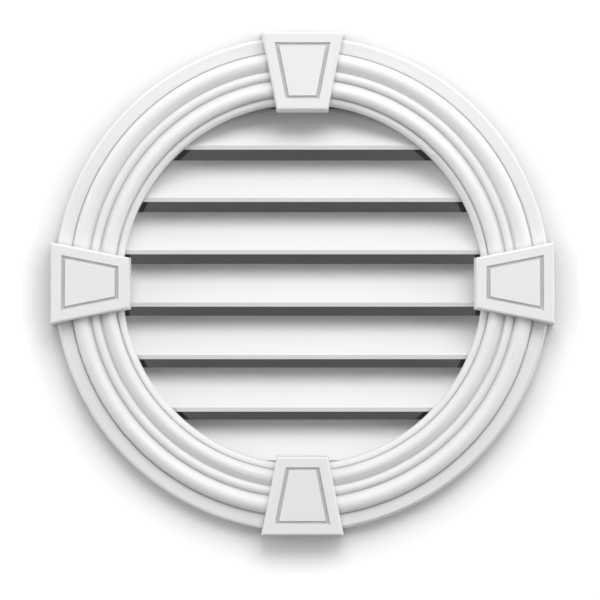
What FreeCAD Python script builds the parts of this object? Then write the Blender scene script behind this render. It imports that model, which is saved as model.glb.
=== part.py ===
# Round gable vent: a louvred base in a screw flange, a moulded trim ring, four keystones and a screen.
#
# The wall's face is the plane y = 0, the front looks along -Y and +Z is up. The origin is the centre of
# the screw flange on the wall. Sizes are in millimetres, and "height" is a distance in front of the wall.
import FreeCAD, Part
import math
import os

import Sketcher

SIZES = {
    # trim ring, from its outer edge inwards
    "ring_radius": 338.5,
    "band_width": 21.5,
    "band_round": 4.5,
    "outer_bead_width": 24.5,
    "outer_bead_radius": 11,
    "small_bead_width": 13,
    "small_bead_rise": 5,
    "inner_bead_width": 22,
    "inner_bead_radius": 9,
    "lip_width": 11,
    "lip_round": 6,
    "bead_slope": 36,
    "quirk_width": 2.4,
    "quirk_depth": 1.8,
    "crest_height": 31,
    "ring_wall": 3,
    "skirt_height": 8,
    "rib_angle": 0.5,
    "rib_count": 16,
    # snap fit of the ring's skirt in the collar
    "fit_clearance": 0.3,
    "snap_height": 12,
    "snap_width": 4,
    "snap_depth": 0.8,
    # louvre base
    "spigot_wall": 2,
    "collar_wall": 3,
    "collar_depth": 41,
    "collar_seat": 1,
    "slat_count": 7,
    "slat_overrun": 3.3,
    "slat_gap": 11.5,
    "slat_edge": 5.6,
    "slat_nose_lean": 1.8,
    "slat_depth": 45,
    "slat_height": 6,
    "slat_lift": 6.4,
    # screw flange
    "flange_width": 55,
    "flange_wall": 3,
    "screw_inset": 35,
    "screw_hole_diameter": 5,
    "screw_count": 8,
    # keystones
    "keystone_overhang": 4.5,
    "nose_overhang": 12.5,
    "keystone_outer_width": 114,
    "keystone_inner_width": 71,
    "keystone_height": 42,
    "keystone_draft": 2,
    "keystone_round": 3,
    "keystone_wall": 3,
    "keystone_face": 5.5,
    "nose_height": 12,
    "groove_margin": 15.5,
    "groove_width": 5.5,
    "groove_depth": 3.2,
    "groove_flare": 25,
    "seat_clearance": 0.25,
    # insect screen
    "screen_wall": 1,
    "screen_rim": 8,
    "screen_rebate": 1.5,
    "wire_wall": 0.6,
    "wire_width": 4,
    "wire_count": 9,
}

# Points nearer than this lie on the same plane.
TINY = 1e-6

doc = FreeCAD.newDocument("gable_vent")
sheet = doc.addObject("Spreadsheet::Sheet", "Sizes")
for row, (alias, number) in enumerate(SIZES.items(), start=1):
    sheet.set(f"A{row}", alias)
    sheet.set(f"B{row}", str(number))
    sheet.setAlias(f"B{row}", alias)
doc.recompute()


class Size:
    """A number together with the sheet formula that it comes from."""

    def __init__(self, number, formula):
        self.number = number
        self.formula = formula

    def __add__(self, other):
        other = as_size(other)
        return Size(self.number + other.number, f"({self.formula} + {other.formula})")

    def __sub__(self, other):
        other = as_size(other)
        return Size(self.number - other.number, f"({self.formula} - {other.formula})")

    def __mul__(self, other):
        other = as_size(other)
        return Size(self.number * other.number, f"({self.formula} * {other.formula})")

    def __truediv__(self, other):
        other = as_size(other)
        return Size(self.number / other.number, f"({self.formula} / {other.formula})")

    def __radd__(self, other):
        return as_size(other) + self

    def __rsub__(self, other):
        return as_size(other) - self

    def __rmul__(self, other):
        return as_size(other) * self

    def __rtruediv__(self, other):
        return as_size(other) / self

    def __neg__(self):
        return 0 - self


def as_size(value):
    return value if isinstance(value, Size) else Size(value, str(value))


def size(alias):
    return Size(float(sheet.get(alias)), f"Sizes.{alias}")


def sine(angle):
    return Size(math.sin(math.radians(angle.number)), f"sin({angle.formula})")


def cosine(angle):
    return Size(math.cos(math.radians(angle.number)), f"cos({angle.formula})")


def root(value):
    return Size(math.sqrt(value.number), f"sqrt({value.formula})")


# Radii of the trim ring's edges and heights of its faces, worked out from the sheet.
ring_radius = size("ring_radius")
outer_valley = ring_radius - size("band_width")
outer_crest = outer_valley - size("outer_bead_radius")
small_bead_outer = outer_valley - size("outer_bead_width")
small_bead_middle = small_bead_outer - size("small_bead_width") / 2
inner_valley = small_bead_outer - size("small_bead_width") - size("inner_bead_width")
inner_crest = inner_valley + size("inner_bead_radius")
opening_radius = inner_valley - size("lip_width")
band_height = size("crest_height") - size("outer_bead_radius")
lip_height = size("crest_height") - size("inner_bead_radius")
slope = size("bead_slope")
slope_run = size("outer_bead_width") - size("outer_bead_radius") * (1 + sine(slope))
trough_height = (
    band_height
    + size("outer_bead_radius") * cosine(slope)
    - slope_run * sine(slope) / cosine(slope)
)
small_bead_rise = size("small_bead_rise")
small_bead_radius = (
    size("small_bead_width") * size("small_bead_width") / 4 + small_bead_rise * small_bead_rise
) / (2 * small_bead_rise)

# The collar's thinner front, the spigot, goes round the ring's skirt and through the flange, and the cone
# between the two sits in the flange's countersink. The row of slats is a little taller than the collar's bore.
fit_clearance = size("fit_clearance")
skirt_outside = opening_radius + size("ring_wall")
collar_inside = skirt_outside + fit_clearance
collar_outside = collar_inside + size("collar_wall")
spigot_outside = collar_inside + size("spigot_wall")
spigot_height = lip_height - size("lip_round") - 2 * fit_clearance
flange_radius = collar_outside + size("flange_width")
slat_pitch = (2 * collar_inside + size("slat_overrun")) / size("slat_count")
top_slat_level = collar_inside - slat_pitch + size("slat_lift")

# The keystones reach over both edges of the ring.
keystone_far = ring_radius + size("keystone_overhang")
keystone_near = opening_radius - size("nose_overhang")


def fail_if_broken():
    """Stops when a feature of the document failed."""
    for item in doc.Objects:
        if "Invalid" in item.State or "Error" in item.State:
            raise RuntimeError(f"{item.Name}: {item.State}")


def bind(item, name, value):
    """Ties one property of a feature to the sheet."""
    item.setExpression(name, as_size(value).formula)


def origin_feature(body, role):
    return next(part for part in body.Origin.OriginFeatures if part.Role == role)


def new_body(label):
    body = doc.addObject("PartDesign::Body", label)
    body.Label = label
    return body


def new_sketch(body, name, role, raised=None):
    """A sketch on one of the body's own origin planes, or raised off it along its normal."""
    sketch = body.newObject("Sketcher::SketchObject", name)
    sketch.AttachmentSupport = [(origin_feature(body, role), "")]
    sketch.MapMode = "FlatFace"
    if raised is not None:
        bind(sketch, "AttachmentOffset.Base.z", raised)
    return sketch


def dimension(sketch, kind, *place, value):
    """Adds a dimension whose value follows the sheet."""
    value = as_size(value)
    number = math.radians(value.number) if kind == "Angle" else value.number
    index = sketch.addConstraint(Sketcher.Constraint(kind, *place, number))
    sketch.setExpression(f"Constraints[{index}]", value.formula)


def place_point(sketch, element, point, across, along):
    """Holds a point of the sketch at its distances from the origin."""
    dimension(sketch, "DistanceX", -1, 1, element, point, value=across)
    dimension(sketch, "DistanceY", -1, 1, element, point, value=along)


def polygon(sketch, corners):
    """A closed outline of straight lines through corners given as pairs of sizes."""
    spots = [FreeCAD.Vector(as_size(x).number, as_size(y).number) for x, y in corners]
    first = sketch.GeometryCount
    for start, end in zip(spots, spots[1:] + spots[:1]):
        sketch.addGeometry(Part.LineSegment(start, end))
    for step, (across, along) in enumerate(corners):
        line = first + step
        after = first + (step + 1) % len(corners)
        sketch.addConstraint(Sketcher.Constraint("Coincident", line, 2, after, 1))
        place_point(sketch, line, 1, across, along)


def circle(sketch, across, along, radius):
    centre = FreeCAD.Vector(across.number, along.number)
    round_hole = sketch.addGeometry(Part.Circle(centre, FreeCAD.Vector(0, 0, 1), radius.number))
    place_point(sketch, round_hole, 3, across, along)
    dimension(sketch, "Radius", round_hole, value=radius)


def rectangle(sketch, inside, outside, low, high):
    """A section of a turned feature: radii along the sketch, heights in front of the wall."""
    polygon(sketch, [(inside, -low), (outside, -low), (outside, -high), (inside, -high)])


def feature(body, kind, name, sketch):
    made = body.newObject(f"PartDesign::{kind}", name)
    made.Profile = sketch
    sketch.Visibility = False
    return made


def turned(body, kind, name, sketch):
    """A Revolution or Groove of a section about the vent's axis."""
    made = feature(body, kind, name, sketch)
    made.ReferenceAxis = (sketch, ["V_Axis"])
    made.Angle = 360
    return made


def round_pattern(body, name, original, count):
    """Copies of a feature round the vent's axis."""
    pattern = body.newObject("PartDesign::PolarPattern", name)
    pattern.Originals = [original]
    pattern.Axis = (origin_feature(body, "Y_Axis"), [""])
    pattern.Angle = 360
    bind(pattern, "Occurrences", count)
    body.Tip = pattern
    return pattern


def row_pattern(body, name, original, axis, count, pitch, back=False):
    """Copies of a feature in a row along one of the body's axes."""
    pattern = body.newObject("PartDesign::LinearPattern", name)
    pattern.Originals = [original]
    pattern.Direction = (origin_feature(body, axis), [""])
    pattern.Reversed = back
    bind(pattern, "Length", pitch * (count - 1))
    bind(pattern, "Occurrences", count)
    body.Tip = pattern
    return pattern


def line_meets_circle(start, direction, centre, radius):
    """The first point where a ray enters a circle, as plain numbers."""
    from_centre = start - centre
    along = from_centre.dot(direction)
    depth = math.sqrt(along**2 - from_centre.dot(from_centre) + radius**2)
    return start + direction * (-along - depth)


def line_at_radius(start, direction, radius):
    """The point where a ray comes to a radius, as plain numbers."""
    return start + direction * ((radius - start.x) / direction.x)


def moulding(sketch, offset, back, small_bead_solid=False):
    """The trim ring's section, moved out by offset and closed at the height back.

    It runs clockwise from the outer edge to the opening: a flat band, a large bead, the small bead, a
    second large bead and the lip. Every arc bulges to the front. Under a solid small bead the section runs
    straight across.
    """
    offset = as_size(offset)
    beads = {
        "band_edge": (ring_radius - size("band_round"), band_height - size("band_round"), size("band_round")),
        "outer_bead": (outer_crest, band_height, size("outer_bead_radius")),
        "inner_bead": (inner_crest, lip_height, size("inner_bead_radius")),
        "lip_edge": (opening_radius + size("lip_round"), lip_height - size("lip_round"), size("lip_round")),
    }
    if not small_bead_solid:
        small_bead_centre = trough_height + small_bead_rise - small_bead_radius
        beads["small_bead"] = (small_bead_middle, small_bead_centre, small_bead_radius)
    centres = {}
    radii = {}
    for name, (radius_out, height, bulge) in beads.items():
        centres[name] = FreeCAD.Vector(radius_out.number, -height.number)
        radii[name] = bulge.number + offset.number

    def on_arc(name, angle):
        """The point of an arc at an angle from straight to the front, towards the ring's outside."""
        turn = math.radians(angle)
        return centres[name] + FreeCAD.Vector(math.sin(turn), -math.cos(turn)) * radii[name]

    def foot(name):
        """The angle at which a large bead's arc comes down on the flat beside it."""
        return math.degrees(math.acos(offset.number / radii[name]))

    tilt = slope.number
    downhill = FreeCAD.Vector(-math.cos(math.radians(tilt)), math.sin(math.radians(tilt)))
    uphill = FreeCAD.Vector(-downhill.x, downhill.y)
    trough_shift = offset * sine(slope)
    trough_outside = small_bead_outer - trough_shift
    trough_inside = small_bead_outer - size("small_bead_width") + trough_shift
    if small_bead_solid:
        outer_trough = line_at_radius(on_arc("outer_bead", -tilt), downhill, trough_outside.number)
        inner_trough = line_at_radius(on_arc("inner_bead", tilt), uphill, trough_inside.number)
    else:
        small = (centres["small_bead"], radii["small_bead"])
        outer_trough = line_meets_circle(on_arc("outer_bead", -tilt), downhill, *small)
        inner_trough = line_meets_circle(on_arc("inner_bead", tilt), uphill, *small)
    back_level = -as_size(back).number
    outer_back = FreeCAD.Vector(on_arc("band_edge", 90).x, back_level)
    inner_back = FreeCAD.Vector(on_arc("lip_edge", -90).x, back_level)

    # Each step: the piece's arc name or None for a line, and the point where it starts.
    route = [
        (None, outer_back),
        ("band_edge", on_arc("band_edge", 90)),
        (None, on_arc("band_edge", 0)),
        ("outer_bead", on_arc("outer_bead", foot("outer_bead"))),
        (None, on_arc("outer_bead", -tilt)),
        (None if small_bead_solid else "small_bead", outer_trough),
        (None, inner_trough),
        ("inner_bead", on_arc("inner_bead", tilt)),
        (None, on_arc("inner_bead", -foot("inner_bead"))),
        ("lip_edge", on_arc("lip_edge", 0)),
        (None, on_arc("lip_edge", -90)),
        (None, inner_back),
    ]
    ends = [start for _, start in route[1:]] + [outer_back]
    for (name, start), end in zip(route, ends):
        if name is None:
            sketch.addGeometry(Part.LineSegment(start, end))
            continue
        ring = Part.Circle(centres[name], FreeCAD.Vector(0, 0, 1), radii[name])
        from_angle = math.atan2(*reversed((end - centres[name])[:2]))
        to_angle = math.atan2(*reversed((start - centres[name])[:2]))
        sketch.addGeometry(Part.ArcOfCircle(ring, from_angle, to_angle))

    outer_wall, band_edge, band, outer_bead, outer_slope, small_bead = range(6)
    inner_slope, inner_bead, lip, lip_edge, inner_wall, back_line = range(6, 12)
    smooth = {
        (outer_wall, band_edge),
        (band_edge, band),
        (outer_bead, outer_slope),
        (inner_slope, inner_bead),
        (lip, lip_edge),
        (lip_edge, inner_wall),
    }
    for element, (name, _) in enumerate(route):
        after = (element + 1) % len(route)
        leaves = 2 if name is None else 1
        enters = 1 if route[after][0] is None else 2
        kind = "Tangent" if (element, after) in smooth else "Coincident"
        sketch.addConstraint(Sketcher.Constraint(kind, element, leaves, after, enters))
    for element in (outer_wall, inner_wall):
        sketch.addConstraint(Sketcher.Constraint("Vertical", element))
    for element in (band, lip, back_line):
        sketch.addConstraint(Sketcher.Constraint("Horizontal", element))
    for element, (name, _) in enumerate(route):
        if name is not None:
            radius_out, height, bulge = beads[name]
            place_point(sketch, element, 3, radius_out, -height)
            dimension(sketch, "Radius", element, value=bulge + offset)
    dimension(sketch, "Angle", outer_slope, value=180 - slope)
    dimension(sketch, "Angle", inner_slope, value=180 + slope)
    dimension(sketch, "DistanceY", -1, 1, outer_wall, 1, value=-as_size(back))
    if small_bead_solid:
        dimension(sketch, "DistanceX", -1, 1, small_bead, 1, value=trough_outside)
        dimension(sketch, "DistanceX", -1, 1, small_bead, 2, value=trough_inside)


def snap_section(sketch, base_radius, depth, width):
    """A pointed ridge, or the groove for it, standing out from a round wall."""
    middle = size("snap_height")
    polygon(
        sketch,
        [
            (base_radius, width / 2 - middle),
            (base_radius + depth, -middle),
            (base_radius, -middle - width / 2),
        ],
    )


def make_trim_ring():
    """The surround: a turned shell, hollowed between ribs, with a skirt that snaps into the collar."""
    body = new_body("trim_ring")
    wall = size("ring_wall")

    front = new_sketch(body, "ring_section", "XY_Plane")
    moulding(front, 0, 0)
    turned(body, "Revolution", "ring_solid", front)

    quirks = new_sketch(body, "quirk_section", "XY_Plane")
    width = size("quirk_width")
    for foot, flat, away in ((outer_valley, band_height, width), (inner_valley, lip_height, -width)):
        polygon(
            quirks,
            [
                (foot, -flat),
                (foot + away, -flat),
                (foot + away / 2, size("quirk_depth") - flat),
            ],
        )
    turned(body, "Groove", "quirks", quirks)

    inside = new_sketch(body, "hollow_section", "XY_Plane")
    moulding(inside, -wall, -wall, small_bead_solid=True)
    hollow = turned(body, "Groove", "hollow", inside)
    hollow.Midplane = True
    bind(hollow, "Angle", 360 / size("rib_count") - size("rib_angle"))
    round_pattern(body, "hollows", hollow, size("rib_count"))

    channel = new_sketch(body, "collar_channel_section", "XY_Plane")
    channel_outside = spigot_outside + fit_clearance
    rectangle(channel, skirt_outside, channel_outside, -wall, spigot_height + fit_clearance)
    turned(body, "Groove", "collar_channel", channel)

    recess = new_sketch(body, "flange_recess_section", "XY_Plane")
    recess_outside = flange_radius + fit_clearance
    rectangle(recess, skirt_outside, recess_outside, -wall, size("flange_wall") + fit_clearance)
    turned(body, "Groove", "flange_recess", recess)

    skirt = new_sketch(body, "skirt_end_section", "XY_Plane")
    rectangle(skirt, opening_radius - wall, channel_outside, -wall, size("skirt_height"))
    turned(body, "Groove", "skirt_end", skirt)

    ridge = new_sketch(body, "snap_ridge_section", "XY_Plane")
    snap_section(ridge, skirt_outside - wall / 2, wall / 2 + size("snap_depth"), size("snap_width"))
    turned(body, "Revolution", "snap_ridge", ridge)
    return body


def make_louvre_base():
    """The collar in the wall, with its slats moulded in and a rebate for the screen."""
    body = new_body("louvre_base")
    wall = size("collar_wall")
    depth = size("collar_depth")

    collar = new_sketch(body, "collar_section", "XY_Plane")
    polygon(
        collar,
        [
            (collar_inside, depth),
            (collar_outside, depth),
            (collar_outside, 0),
            (spigot_outside, -size("collar_seat")),
            (spigot_outside, -spigot_height),
            (collar_inside, -spigot_height),
        ],
    )
    turned(body, "Revolution", "collar", collar)

    edge = size("slat_edge")
    front = -size("slat_height")
    back = front + size("slat_depth")
    low = top_slat_level
    high = low + slat_pitch - size("slat_gap")
    section = new_sketch(body, "slat_section", "YZ_Plane")
    nose = front + size("slat_nose_lean")
    polygon(section, [(nose, low), (back, high - edge), (back, high), (front, low + edge)])
    slat = feature(body, "Pad", "slat", section)
    slat.Midplane = True
    bind(slat, "Length", 2 * collar_inside + size("spigot_wall"))
    row_pattern(body, "slats", slat, "Z_Axis", size("slat_count"), slat_pitch, back=True)

    trim = new_sketch(body, "slat_trim_section", "XY_Plane")
    polygon(
        trim,
        [
            (collar_outside, 2 * depth),
            (2 * collar_outside, 2 * depth),
            (2 * collar_outside, -2 * depth),
            (spigot_outside, -2 * depth),
            (spigot_outside, -size("collar_seat")),
            (collar_outside, 0),
        ],
    )
    turned(body, "Groove", "slat_trim", trim)

    rebate = new_sketch(body, "screen_rebate_section", "XY_Plane")
    rebate_radius = collar_inside + size("screen_rebate")
    rectangle(rebate, collar_inside - wall, rebate_radius, -2 * depth, size("screen_wall") - depth)
    turned(body, "Groove", "screen_rebate", rebate)

    snap = new_sketch(body, "snap_groove_section", "XY_Plane")
    snap_depth = size("snap_depth") + fit_clearance
    snap_section(snap, collar_inside - wall / 2, wall / 2 + snap_depth, size("snap_width") + 2 * fit_clearance)
    turned(body, "Groove", "snap_groove", snap)
    return body


def make_screw_flange():
    """A flat ring on the wall's face that holds the collar by its cone, with screw holes all round."""
    body = new_body("screw_flange")
    wall = size("flange_wall")

    section = new_sketch(body, "flange_section", "XY_Plane")
    polygon(
        section,
        [
            (collar_outside + fit_clearance, 0),
            (flange_radius, 0),
            (flange_radius, -wall),
            (spigot_outside + fit_clearance, -wall),
            (spigot_outside + fit_clearance, -size("collar_seat")),
        ],
    )
    turned(body, "Revolution", "flange", section)

    hole = new_sketch(body, "screw_hole_circle", "XZ_Plane")
    half_step = 180 / size("screw_count")
    reach = collar_outside + size("screw_inset")
    circle(hole, reach * sine(half_step), reach * cosine(half_step), size("screw_hole_diameter") / 2)
    drilled = feature(body, "Pocket", "screw_hole", hole)
    drilled.Type = "ThroughAll"
    drilled.Midplane = True
    round_pattern(body, "screw_holes", drilled, size("screw_count"))
    return body


def keystone_outline(margin):
    """The corners of the keystone's face, drawn in from its edge by margin."""
    far = keystone_far
    near = keystone_near
    wide = size("keystone_outer_width") / 2
    narrow = size("keystone_inner_width") / 2
    taper = (wide - narrow) / (far - near)
    draw_in = margin * root(1 + taper * taper)
    far_half = wide - taper * margin - draw_in
    near_half = narrow + taper * margin - draw_in
    return [
        (-near_half, near + margin),
        (near_half, near + margin),
        (far_half, far - margin),
        (-far_half, far - margin),
    ]


def make_keystone(label, turn):
    """A hollow cap that sits over the trim ring, turned to its place round the vent."""
    body = new_body(label)
    wall = size("keystone_wall")
    height = size("keystone_height")
    clearance = size("seat_clearance")

    outline = new_sketch(body, "outline", "XZ_Plane")
    polygon(outline, keystone_outline(as_size(0)))
    block = feature(body, "Pad", "block", outline)
    bind(block, "Length", height)
    bind(block, "TaperAngle", -size("keystone_draft"))
    doc.recompute()

    front_edges = []
    for number, line in enumerate(block.Shape.Edges, start=1):
        if all(abs(point.Y + height.number) < TINY for point in line.Vertexes):
            front_edges.append(f"Edge{number}")
    rounding = body.newObject("PartDesign::Fillet", "face_rounding")
    rounding.Base = (block, front_edges)
    bind(rounding, "Radius", size("keystone_round"))

    hollow = new_sketch(body, "hollow_outline", "XZ_Plane")
    polygon(hollow, keystone_outline(wall))
    cavity = feature(body, "Pocket", "hollow", hollow)
    cavity.Reversed = True
    bind(cavity, "Length", height - size("keystone_face"))
    bind(cavity, "TaperAngle", -size("keystone_draft"))

    saddle = new_sketch(body, "saddle_section", "XY_Plane")
    moulding(saddle, clearance, -wall)
    turned(body, "Groove", "saddle", saddle)

    nose = new_sketch(body, "nose_section", "XY_Plane")
    rectangle(nose, keystone_near - wall, opening_radius + wall, -wall, size("nose_height"))
    turned(body, "Groove", "nose_end", nose)

    margin = size("groove_margin")
    depth = size("groove_depth")
    flare = size("groove_flare")
    recess = new_sketch(body, "recess_outline", "XZ_Plane", raised=height)
    polygon(recess, keystone_outline(margin))
    sunk = feature(body, "Pocket", "face_recess", recess)
    bind(sunk, "Length", depth)
    bind(sunk, "TaperAngle", -flare)

    panel = new_sketch(body, "panel_outline", "XZ_Plane", raised=height - depth)
    panel_margin = margin + size("groove_width") - depth * sine(flare) / cosine(flare)
    polygon(panel, keystone_outline(panel_margin))
    raised = feature(body, "Pad", "face_panel", panel)
    bind(raised, "Length", depth)
    bind(raised, "TaperAngle", -flare)

    body.Placement = FreeCAD.Placement(FreeCAD.Vector(), FreeCAD.Rotation(FreeCAD.Vector(0, 1, 0), turn))
    return body


def make_insect_screen():
    """A disc of mesh in the collar's rebate: a rim with two layers of crossed wires."""
    body = new_body("insect_screen")
    wall = size("screen_wall")
    back = size("collar_depth")
    rim_outside = collar_inside + size("screen_rebate") - fit_clearance
    rim_inside = rim_outside - size("screen_rim")

    rim = new_sketch(body, "rim_section", "XY_Plane")
    rectangle(rim, rim_inside, rim_outside, -back, wall - back)
    turned(body, "Revolution", "rim", rim)

    count = size("wire_count")
    pitch = 2 * rim_inside / (count + 1)
    half_width = size("wire_width") / 2
    wire_end = rim_inside + size("screen_rim") / 2
    layers = (("uprights", True, wall - back), ("crosswires", False, size("wire_wall") - back))
    for name, upright, level in layers:
        layer = new_sketch(body, f"{name}_outline", "XZ_Plane", raised=level)
        for number in range(round(count.number)):
            middle = pitch * (number - (count - 1) / 2)
            reach = root(wire_end * wire_end - middle * middle)
            sides = (middle - half_width, middle + half_width)
            corners = [(sides[0], -reach), (sides[1], -reach), (sides[1], reach), (sides[0], reach)]
            polygon(layer, corners if upright else [(along, across) for across, along in corners])
        wires = feature(body, "Pad", name, layer)
        wires.Reversed = True
        bind(wires, "Length", size("wire_wall"))
    return body


sub_parts = [make_louvre_base(), make_screw_flange(), make_trim_ring(), make_insect_screen()]
for side, turn in (("top", 0), ("right", 90), ("bottom", 180), ("left", 270)):
    sub_parts.append(make_keystone(f"keystone_{side}", turn))
doc.recompute()
fail_if_broken()

os.makedirs("parts", exist_ok=True)
for body in sub_parts:
    if body.Shape.isNull() or not body.Shape.isValid():
        raise RuntimeError(f"{body.Label} has no valid shape")
for body in sub_parts:
    body.Shape.exportStep(f"parts/{body.Label}.step")
    box = body.Shape.BoundBox
    print(body.Label, len(body.Shape.Solids), round(body.Shape.Volume), box)
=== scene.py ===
# Round gable vent on a pale wall: white moulded plastic, with a dark insect screen behind the slats.
#
# Everything is in metres in the vent's own frame: X to the right, Y into the wall, Z up, with the
# wall's face at y = 0 and the vent's axis through the origin.
import math

import bmesh
import bpy
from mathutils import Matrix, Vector


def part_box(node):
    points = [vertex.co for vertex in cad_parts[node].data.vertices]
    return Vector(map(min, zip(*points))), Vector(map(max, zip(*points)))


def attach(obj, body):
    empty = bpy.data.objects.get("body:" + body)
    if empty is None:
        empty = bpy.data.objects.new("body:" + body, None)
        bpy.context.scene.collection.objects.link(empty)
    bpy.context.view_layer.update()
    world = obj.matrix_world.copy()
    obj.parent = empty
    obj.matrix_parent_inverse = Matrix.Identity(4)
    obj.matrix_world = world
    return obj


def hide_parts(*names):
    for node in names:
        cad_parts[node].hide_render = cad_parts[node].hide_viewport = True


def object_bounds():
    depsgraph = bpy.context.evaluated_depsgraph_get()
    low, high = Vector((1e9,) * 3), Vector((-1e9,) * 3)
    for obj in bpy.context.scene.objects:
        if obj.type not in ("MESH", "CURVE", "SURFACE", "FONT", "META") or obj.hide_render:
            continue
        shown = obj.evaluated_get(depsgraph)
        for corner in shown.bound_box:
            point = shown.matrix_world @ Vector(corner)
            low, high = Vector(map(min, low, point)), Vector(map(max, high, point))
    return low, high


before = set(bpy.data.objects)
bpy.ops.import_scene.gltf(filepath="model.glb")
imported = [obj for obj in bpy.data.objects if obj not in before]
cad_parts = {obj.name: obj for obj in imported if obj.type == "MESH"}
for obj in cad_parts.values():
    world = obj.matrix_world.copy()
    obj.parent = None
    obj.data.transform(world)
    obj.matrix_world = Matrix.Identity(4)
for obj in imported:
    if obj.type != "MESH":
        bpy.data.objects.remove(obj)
cad_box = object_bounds()


# How finishes are written

class Signal:
    """A value on its way through a finish, so that sums can be written as Python."""

    def __init__(self, finish, socket):
        self.finish = finish
        self.socket = socket

    def __add__(self, other):
        return self.finish.sum("ADD", self, other)

    __radd__ = __add__

    def __rsub__(self, other):
        return self.finish.sum("SUBTRACT", other, self)

    def __mul__(self, other):
        return self.finish.sum("MULTIPLY", self, other)

    __rmul__ = __mul__


# The colour sockets of a Mix node.
MIX_FIRST = 6
MIX_SECOND = 7
MIX_RESULT = 2
# Rays for each look at how open a place is.
OPENNESS_RAYS = 2


class Finish:
    """A material or world that is built up node by node."""

    def __init__(self, owner):
        owner.use_nodes = True
        self.owner = owner
        self.tree = owner.node_tree
        self.tree.nodes.clear()

    def node(self, kind, settings, sockets, output=0):
        """Adds a node, sets it up, fills or links its sockets and gives one of its outputs."""
        made = self.tree.nodes.new(kind)
        for name, setting in settings.items():
            setattr(made, name, setting)
        for name, value in sockets.items():
            if isinstance(value, Signal):
                self.tree.links.new(value.socket, made.inputs[name])
            else:
                made.inputs[name].default_value = value
        if len(made.outputs) == 0:
            return None
        return Signal(self, made.outputs[output])

    def sum(self, operation, first, second):
        return self.node("ShaderNodeMath", {"operation": operation}, {0: first, 1: second})

    def blend(self, factor, first, second):
        """A colour between two colours."""
        sockets = {0: factor, MIX_FIRST: first, MIX_SECOND: second}
        return self.node("ShaderNodeMix", {"data_type": "RGBA"}, sockets, MIX_RESULT)

    def place(self):
        """The point on the piece, in metres."""
        return self.node("ShaderNodeTexCoord", {}, {}, "Object")

    def noise(self, place, scale, detail=2.0):
        """Soft patches from 0 to 1, about one patch in 1 / scale metres."""
        sockets = {"Vector": place, "Scale": scale, "Detail": detail}
        return self.node("ShaderNodeTexNoise", {}, sockets)

    def along(self, vector, axis):
        """How far a vector goes along an axis."""
        settings = {"operation": "DOT_PRODUCT"}
        return self.node("ShaderNodeVectorMath", settings, {0: vector, 1: axis}, "Value")

    def openness(self, reach):
        """1 in the open, down to 0 where things within reach close a place in."""
        settings = {"samples": OPENNESS_RAYS}
        return self.node("ShaderNodeAmbientOcclusion", settings, {"Distance": reach}, "AO")

    def geometry(self, output):
        return self.node("ShaderNodeNewGeometry", {}, {}, output)

    def ray(self, output):
        return self.node("ShaderNodeLightPath", {}, {}, output)

    def seen(self):
        """1 for the rays that show a thing to the camera, straight or in a mirror or glass."""
        return self.ray("Is Camera Ray") + self.ray("Is Glossy Ray") + self.ray("Is Transmission Ray")

    def surface(self, shader):
        is_material = isinstance(self.owner, bpy.types.Material)
        kind = "ShaderNodeOutputMaterial" if is_material else "ShaderNodeOutputWorld"
        self.node(kind, {}, {"Surface": shader})
        return self.owner


def new_finish(name):
    return Finish(bpy.data.materials.new(name))


# The vent's finishes

PLASTIC_WHITE = (0.81, 0.81, 0.807, 1)
PLASTIC_WARM = (0.795, 0.795, 0.789, 1)
PLASTIC_SHINE = 0.4
# Clouds of melt, pebbles of the mould's skin and patches of wear, in counts to the metre.
CLOUDS = 7.0
PEBBLES = 1600.0
PATCHES = 90.0
CLOUD_DETAIL = 3.0
PEBBLE_STRENGTH = 0.12
PEBBLE_HEIGHT = 0.0003
PATCH_ROUGHNESS = 0.10
PEBBLE_ROUGHNESS = 0.06
# Painted shade darkens the colour where things within its reach close a place in.
PAINTED_SHADE_PALE = (0.62, 0.62, 0.615, 1)
PAINTED_SHADE_DEEP = (0.50, 0.50, 0.495, 1)
PAINTED_SHADE_REACH = 0.007
PAINTED_SHADE_EDGE = 0.85
PAINTED_SHADE_GAIN = 3.0
UP = (0, 0, 1)


def moulded_white(name, roughness, dust_and_painted_shade):
    """Satin white plastic from a mould: a pebbled skin, faint clouds of melt, and painted shade in the
    crevices, which fades on the faces that look up."""
    finish = new_finish(name)
    place = finish.place()
    clouds = finish.noise(place, CLOUDS, CLOUD_DETAIL)
    pebbles = finish.noise(place, PEBBLES)
    patches = finish.noise(place, PATCHES)
    upward = finish.along(finish.geometry("Normal"), UP)
    # Painted shade: darker where things close a place in, and fading as a face looks up.
    painted_shade_amount = PAINTED_SHADE_GAIN * (PAINTED_SHADE_EDGE - finish.openness(PAINTED_SHADE_REACH)) * (1 - upward)
    plain = finish.blend(clouds, PLASTIC_WHITE, PLASTIC_WARM)
    skin = finish.node(
        "ShaderNodeBump",
        {},
        {"Strength": PEBBLE_STRENGTH, "Distance": PEBBLE_HEIGHT, "Height": pebbles},
    )
    plastic = finish.node(
        "ShaderNodeBsdfPrincipled",
        {},
        {
            "Base Color": finish.blend(painted_shade_amount, plain, dust_and_painted_shade),
            "Roughness": roughness + PATCH_ROUGHNESS * patches + PEBBLE_ROUGHNESS * pebbles,
            "Specular IOR Level": PLASTIC_SHINE,
            "Normal": skin,
        },
    )
    return finish.surface(plastic)


SCREEN_DARK = (0.035, 0.035, 0.036, 1)
SCREEN_DUSTY = (0.06, 0.06, 0.058, 1)
SCREEN_PATCHES = 60.0
SCREEN_DETAIL = 3.0
SCREEN_ROUGHNESS = 0.5
SCREEN_DUST_ROUGHNESS = 0.2


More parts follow.
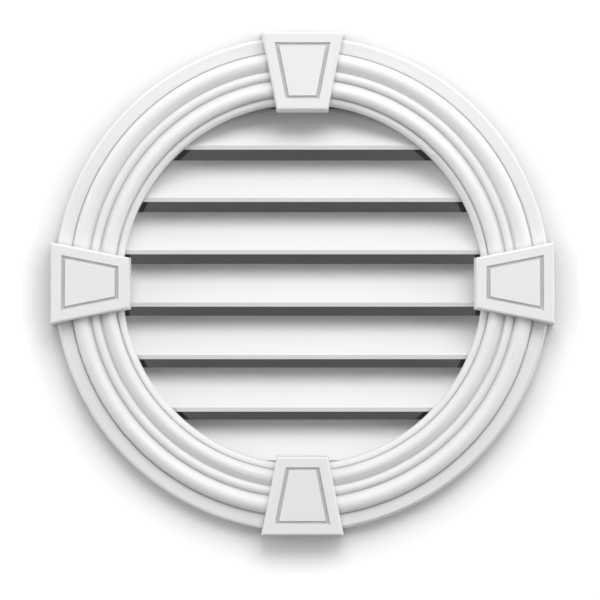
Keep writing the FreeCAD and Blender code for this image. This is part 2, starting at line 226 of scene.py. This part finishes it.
def screen_charcoal():
    """Coated mesh: almost black, with a little dust on it."""
    finish = new_finish("screen_charcoal")
    dust_and_painted_shade = finish.noise(finish.place(), SCREEN_PATCHES, SCREEN_DETAIL)
    coating = finish.node(
        "ShaderNodeBsdfPrincipled",
        {},
        {
            "Base Color": finish.blend(dust_and_painted_shade, SCREEN_DARK, SCREEN_DUSTY),
            "Roughness": SCREEN_ROUGHNESS + SCREEN_DUST_ROUGHNESS * dust_and_painted_shade,
        },
    )
    return finish.surface(coating)


# The insect screen

RIM_WIDTH = 0.008
RIM_EDGE = 0.0003
RIM_STEPS = 192
WIRE_PITCH = 0.0014
WIRE_HALF = 0.00014


def new_piece(name, mesh, finish):
    mesh.materials.append(finish)
    piece = bpy.data.objects.new(name, mesh)
    bpy.context.scene.collection.objects.link(piece)
    return piece


def mesh_from(work, name):
    mesh = bpy.data.meshes.new(name)
    work.to_mesh(mesh)
    work.free()
    return mesh


def round_turn(steps):
    """The cosine and sine of each step of a full turn."""
    for step in range(steps):
        turn = 2 * math.pi * step / steps
        yield math.cos(turn), math.sin(turn)


def add_rim(work, outside, front, back):
    """The screen's flat rim, with its front edges broken."""
    inside = outside - RIM_WIDTH
    section = [
        (inside, back),
        (inside, front + RIM_EDGE),
        (inside + RIM_EDGE, front),
        (outside - RIM_EDGE, front),
        (outside, front + RIM_EDGE),
        (outside, back),
    ]
    loops = []
    for x, z in round_turn(RIM_STEPS):
        loops.append([work.verts.new((radius * x, depth, radius * z)) for radius, depth in section])
    for step, loop in enumerate(loops):
        after = loops[(step + 1) % RIM_STEPS]
        for corner in range(len(section)):
            beyond = (corner + 1) % len(section)
            work.faces.new((loop[corner], after[corner], after[beyond], loop[beyond]))


def add_wire(work, start, end):
    """One wire of the screen: a thin four-sided bar between two points at the same depth."""
    across = (end - start).normalized().cross(Vector((0, 1, 0))) * WIRE_HALF
    through = Vector((0, WIRE_HALF, 0))
    sides = (across, through, -across, -through)
    first = [work.verts.new(start + side) for side in sides]
    last = [work.verts.new(end + side) for side in sides]
    for side in range(len(sides)):
        after = (side + 1) % len(sides)
        work.faces.new((first[side], first[after], last[after], last[side]))
    work.faces.new(reversed(first))
    work.faces.new(last)


def insect_mesh(low, high):
    """The screen as fitted: a rim and fine wires that cross in two layers, in the CAD screen's place."""
    work = bmesh.new()
    add_rim(work, high.x, low.y, high.y)
    reach = high.x - RIM_WIDTH / 2
    middle = (low.y + high.y) / 2
    upright = middle - WIRE_HALF
    crossing = middle + WIRE_HALF
    count = int(reach / WIRE_PITCH)
    for number in range(-count, count + 1):
        offset = number * WIRE_PITCH
        half = math.sqrt(reach**2 - offset**2)
        add_wire(work, Vector((offset, upright, -half)), Vector((offset, upright, half)))
        add_wire(work, Vector((-half, crossing, offset)), Vector((half, crossing, offset)))
    bmesh.ops.recalc_face_normals(work, faces=work.faces[:])
    return mesh_from(work, "fine_screen")


# The vent

LOUVRE_ROUGHNESS = 0.40
FLANGE_ROUGHNESS = 0.42
TRIM_ROUGHNESS = 0.36
KEYSTONE_ROUGHNESS = 0.38

keystone_white = moulded_white("keystone_white", KEYSTONE_ROUGHNESS, PAINTED_SHADE_DEEP)
screen_finish = screen_charcoal()
finishes = {
    "louvre_base": moulded_white("louvre_white", LOUVRE_ROUGHNESS, PAINTED_SHADE_PALE),
    "screw_flange": moulded_white("flange_white", FLANGE_ROUGHNESS, PAINTED_SHADE_PALE),
    "trim_ring": moulded_white("trim_white", TRIM_ROUGHNESS, PAINTED_SHADE_PALE),
    "insect_screen": screen_finish,
}
for node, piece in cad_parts.items():
    piece.data.materials.clear()
    piece.data.materials.append(finishes.get(node, keystone_white))

fine_screen = new_piece("fine_screen", insect_mesh(*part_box("insect_screen")), screen_finish)
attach(fine_screen, "root")
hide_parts("insect_screen")


# The wall, the floor and the dim loft sheet, painted shade with a painted glow, that shows through the
# gaps

WALL_WHITE = (0.96, 0.96, 0.96, 1)
# Painted shadow on the wall where the vent closes it in, and how far it reaches.
WALL_PAINTED_SHADOW = (0.30, 0.30, 0.30, 1)
PAINTED_SHADOW_REACH = 0.05
# The wall's lift for the camera, a painted glow, and how it grows with the distance from the vent's
# axis.
WALL_PAINTED_GLOW = (0.25, 0.25, 0.25, 1)
LIFT_NEAR = 0.15
LIFT_START = 0.35
LIFT_END = 0.44
FLOOR_GREY = (0.25, 0.25, 0.25, 1)
FLOOR_LIFT = (0.70, 0.70, 0.70, 1)
# The loft sheet: painted shade, and a painted glow for the camera.
LOFT_PAINTED_SHADE = (0.10, 0.10, 0.10, 1)
LOFT_PAINTED_GLOW = (0.10, 0.10, 0.10, 1)
NO_LIFT = (0, 0, 0, 1)
STAGE_ROUGHNESS = 0.9
STAGE_HALF = 6.0
WALL_LEVEL = 0.0005
WALL_HOLE = 0.256
WALL_STEPS = 192
LOFT_GAP = 0.02
LOFT_STEPS = 96
FLOOR_LEVEL = -1.2


def stage_surface(finish, colour, lift):
    """A matt colour, lifted where the camera looks at it. It is clear for a look from behind and
    for the light that belongs to that look, so that the vent's back shows too."""
    matt = finish.node(
        "ShaderNodeBsdfPrincipled",
        {},
        {
            "Base Color": colour,
            "Roughness": STAGE_ROUGHNESS,
            "Specular IOR Level": 0.0,
            "Emission Color": lift,
            "Emission Strength": 1.0,
        },
    )
    clear = finish.node("ShaderNodeBsdfTransparent", {}, {})
    behind = finish.geometry("Backfacing") + finish.ray("Transparent Depth")
    return finish.surface(finish.node("ShaderNodeMixShader", {}, {0: behind, 1: matt, 2: clear}))


def stage_plain(name, colour, lift):
    finish = new_finish(name)
    return stage_surface(finish, colour, finish.blend(finish.seen(), NO_LIFT, lift))


def stage_wall(name):
    """White paint with painted shadow close to the vent, and a painted glow for the camera that grows
    away from it.
    """
    finish = new_finish(name)
    # Painted shadow: the wall darkens where the vent closes it in.
    painted_shadow = 1 - finish.openness(PAINTED_SHADOW_REACH)
    flat_place = finish.node(
        "ShaderNodeVectorMath", {"operation": "MULTIPLY"}, {0: finish.place(), 1: (1, 0, 1)}
    )
    distance = finish.node("ShaderNodeVectorMath", {"operation": "LENGTH"}, {0: flat_place}, "Value")
    away = finish.node(
        "ShaderNodeMapRange",
        {"interpolation_type": "SMOOTHSTEP"},
        {"Value": distance, "From Min": LIFT_START, "From Max": LIFT_END},
    )
    # Painted glow for the camera: faint near the vent, growing away from its axis.
    lift = finish.blend((LIFT_NEAR + away) * finish.seen(), NO_LIFT, WALL_PAINTED_GLOW)
    return stage_surface(finish, finish.blend(painted_shadow, WALL_WHITE, WALL_PAINTED_SHADOW), lift)


def wall_sheet(name):
    """A square sheet that faces the front, with a round hole."""
    work = bmesh.new()
    inner, outer = [], []
    for x, z in round_turn(WALL_STEPS):
        stretch = STAGE_HALF / max(abs(x), abs(z))
        inner.append(work.verts.new((WALL_HOLE * x, WALL_LEVEL, WALL_HOLE * z)))
        outer.append(work.verts.new((stretch * x, WALL_LEVEL, stretch * z)))
    for step in range(WALL_STEPS):
        after = (step + 1) % WALL_STEPS
        work.faces.new((inner[step], outer[step], outer[after], inner[after]))
    return mesh_from(work, name)


def loft_sheet(name):
    """A round sheet behind the screen that faces the front: painted shade for the dark loft."""
    work = bmesh.new()
    depth = cad_box[1].y + LOFT_GAP
    turn = round_turn(LOFT_STEPS)
    work.faces.new([work.verts.new((WALL_HOLE * x, depth, WALL_HOLE * z)) for x, z in turn])
    return mesh_from(work, name)


def floor_sheet(name):
    work = bmesh.new()
    near, far = -STAGE_HALF, STAGE_HALF
    corners = ((near, near), (far, near), (far, far), (near, far))
    work.faces.new([work.verts.new((x, y, FLOOR_LEVEL)) for x, y in corners])
    return mesh_from(work, name)


wall = new_piece("wall", wall_sheet("wall"), stage_wall("wall_white"))
loft = new_piece("loft", loft_sheet("loft"), stage_plain("loft_painted_shade", LOFT_PAINTED_SHADE, LOFT_PAINTED_GLOW))
floor = new_piece("floor", floor_sheet("floor"), stage_plain("floor_pale", FLOOR_GREY, FLOOR_LIFT))


# The light: one large soft lamp in front and above, a little to the right, between two pale sides

KEY_SPOT = (0.70, -4.0, 3.75)
KEY_WIDTH = 4.6
KEY_HEIGHT = 3.4
KEY_POWER = 206
SIDE_GLOW = 2.85
TO_THE_RIGHT = (1, 0, 0)
WHITE = (1, 1, 1, 1)

key_data = bpy.data.lights.new("key", "AREA")
key_data.shape = "RECTANGLE"
key_data.size = KEY_WIDTH
key_data.size_y = KEY_HEIGHT
key_data.energy = KEY_POWER
key = bpy.data.objects.new("key", key_data)
key.location = KEY_SPOT
key.rotation_euler = (-Vector(KEY_SPOT)).to_track_quat("-Z", "Y").to_euler()
bpy.context.scene.collection.objects.link(key)

studio = bpy.data.worlds.new("studio")
bpy.context.scene.world = studio
sky = Finish(studio)
sideways = sky.along(sky.node("ShaderNodeTexCoord", {}, {}, "Generated"), TO_THE_RIGHT)
backdrop = sky.blend(sky.seen(), SIDE_GLOW * sideways * sideways, WHITE)
sky.surface(sky.node("ShaderNodeBackground", {}, {"Color": backdrop, "Strength": 1.0}))


# The camera

# The photograph's frame, in pixels, and where the vent's centre lies in it.
IMAGE_SIZE = 600
CENTRE_X = 302.5
CENTRE_Y = 283.8
# One pixel at the keystones' faces, in metres.
PIXEL = 0.001355
CAMERA_DISTANCE = 3.6
CAMERA_DROP = 0.10
# A camera's sensor and lens are in millimetres.
SENSOR_WIDTH = 36.0

lens_px = (CAMERA_DISTANCE + cad_box[0].y) / PIXEL
camera_data = bpy.data.cameras.new("camera")
camera_data.sensor_width = SENSOR_WIDTH
camera_data.lens = lens_px * SENSOR_WIDTH / IMAGE_SIZE
camera = bpy.data.objects.new("camera", camera_data)
target = Vector(((IMAGE_SIZE / 2 - CENTRE_X) * PIXEL, 0, (CENTRE_Y - IMAGE_SIZE / 2) * PIXEL))
camera.location = (target.x, -CAMERA_DISTANCE, target.z - CAMERA_DROP)
camera.rotation_euler = (target - camera.location).to_track_quat("-Z", "Y").to_euler()
bpy.context.scene.collection.objects.link(camera)
bpy.context.scene.camera = camera

bpy.context.scene.view_settings.view_transform = "Standard"
